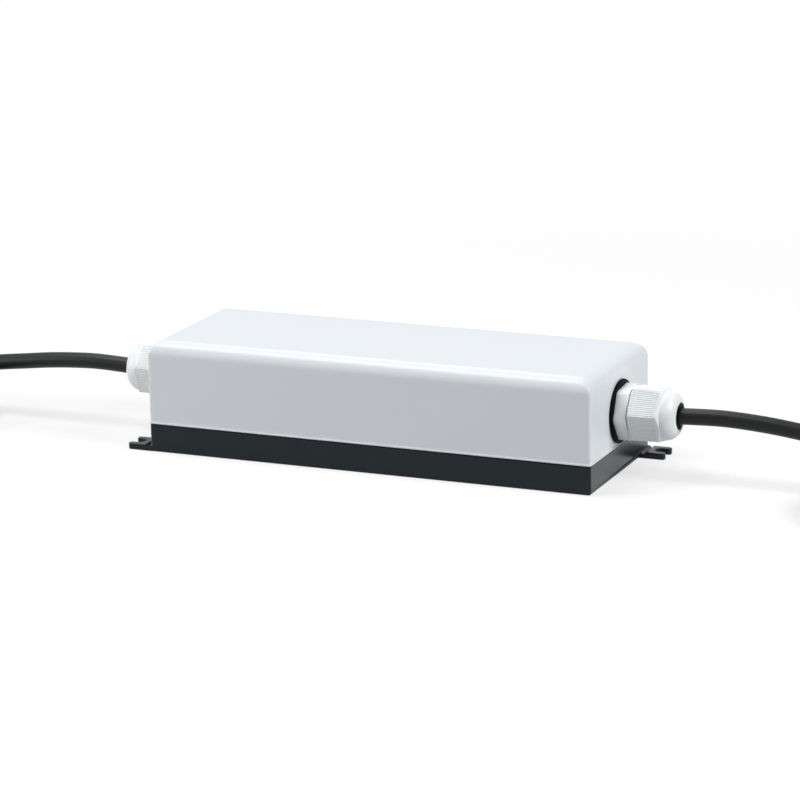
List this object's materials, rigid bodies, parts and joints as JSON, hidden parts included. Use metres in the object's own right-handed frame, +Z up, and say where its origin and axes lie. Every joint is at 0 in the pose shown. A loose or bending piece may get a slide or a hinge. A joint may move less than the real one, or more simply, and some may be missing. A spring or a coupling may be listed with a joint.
{
  "type": "encased power supply",
  "caption": "Slim encased mains power supply: dark base tray with open-slotted fixing lugs, white cover, and a ribbed cable gland with a black flying lead at each end.",
  "frame": {"origin": "centre of the base tray's underside, on the surface that the case is fixed to", "axes": "+X along the case from the input end to the output end, +Y across it towards the output end's lug side, +Z up from the fixing surface"},
  "size_m": [0.4728, 0.0823, 0.042],
  "materials": {
    "tray_black": "satin, fine moulded grain",
    "cover_white": "satin gloss, moulded",
    "gasket_rubber": "matt",
    "zinc_screw": "bright zinc",
    "gland_white": "satin",
    "seal_rubber": "matt",
    "sheath_black": "satin, slightly glossy",
    "core_brown": "satin",
    "core_blue": "satin",
    "core_red": "satin",
    "core_black": "satin",
    "tinned_copper": "tinned strands",
    "tie_black": "satin",
    "board_green": "solder mask",
    "terminal_green": "satin",
    "fuse_red": "satin",
    "disc_blue": "dipped epoxy",
    "disc_green": "dipped epoxy",
    "film_yellow": "satin",
    "ferrite": "sintered, matt",
    "copper_wire": "enamelled copper",
    "epoxy_black": "moulded, matt",
    "can_black": "shrunk sleeve",
    "can_blue": "shrunk sleeve",
    "heatsink_grey": "extruded",
    "bobbin_black": "satin",
    "tape_yellow": "adhesive tape"
  },
  "bodies": {
    "root": {"base_tray": "tray_black", "cover_shell": "cover_white", "lid_gasket": "gasket_rubber", "cover_screws": "zinc_screw", "input_gland_body": "gland_white", "input_gland_nut": "gland_white", "input_gland_seal": "seal_rubber", "input_gland_washer": "seal_rubber", "input_gland_locknut": "gland_white", "output_gland_body": "gland_white", "output_gland_nut": "gland_white", "output_gland_seal": "seal_rubber", "output_gland_washer": "seal_rubber", "output_gland_locknut": "gland_white", "input_inner_sheath": "sheath_black", "input_line_wire": "core_brown", "input_neutral_wire": "core_blue", "output_inner_sheath": "sheath_black", "output_positive_wire": "core_red", "output_negative_wire": "core_black", "input_cable": "sheath_black", "input_coil": "sheath_black", "input_tie": "tie_black", "input_line_core": "core_brown", "input_neutral_core": "core_blue", "input_tinned_ends": "tinned_copper", "output_cable": "sheath_black", "output_coil": "sheath_black", "output_tie": "tie_black", "output_positive_core": "core_red", "output_negative_core": "core_black", "output_tinned_ends": "tinned_copper", "circuit_board": "board_green", "board_screws": "zinc_screw", "input_terminal": "terminal_green", "output_terminal": "terminal_green", "terminal_screws": "zinc_screw", "fuse": "fuse_red", "varistor": "disc_blue", "inrush_thermistor": "disc_green", "film_capacitor": "film_yellow", "choke_core": "ferrite", "choke_windings": "copper_wire", "bridge_rectifier": "epoxy_black", "bulk_capacitor": "can_black", "primary_heatsink": "heatsink_grey", "switching_transistor": "epoxy_black", "control_chip": "epoxy_black", "transformer_core": "ferrite", "transformer_bobbin": "bobbin_black", "transformer_winding": "tape_yellow", "optocoupler": "epoxy_black", "safety_capacitor": "disc_blue", "output_heatsink": "heatsink_grey", "output_diode": "epoxy_black", "output_capacitors": "can_blue", "output_inductor": "ferrite"}
  },
  "joints": []
}
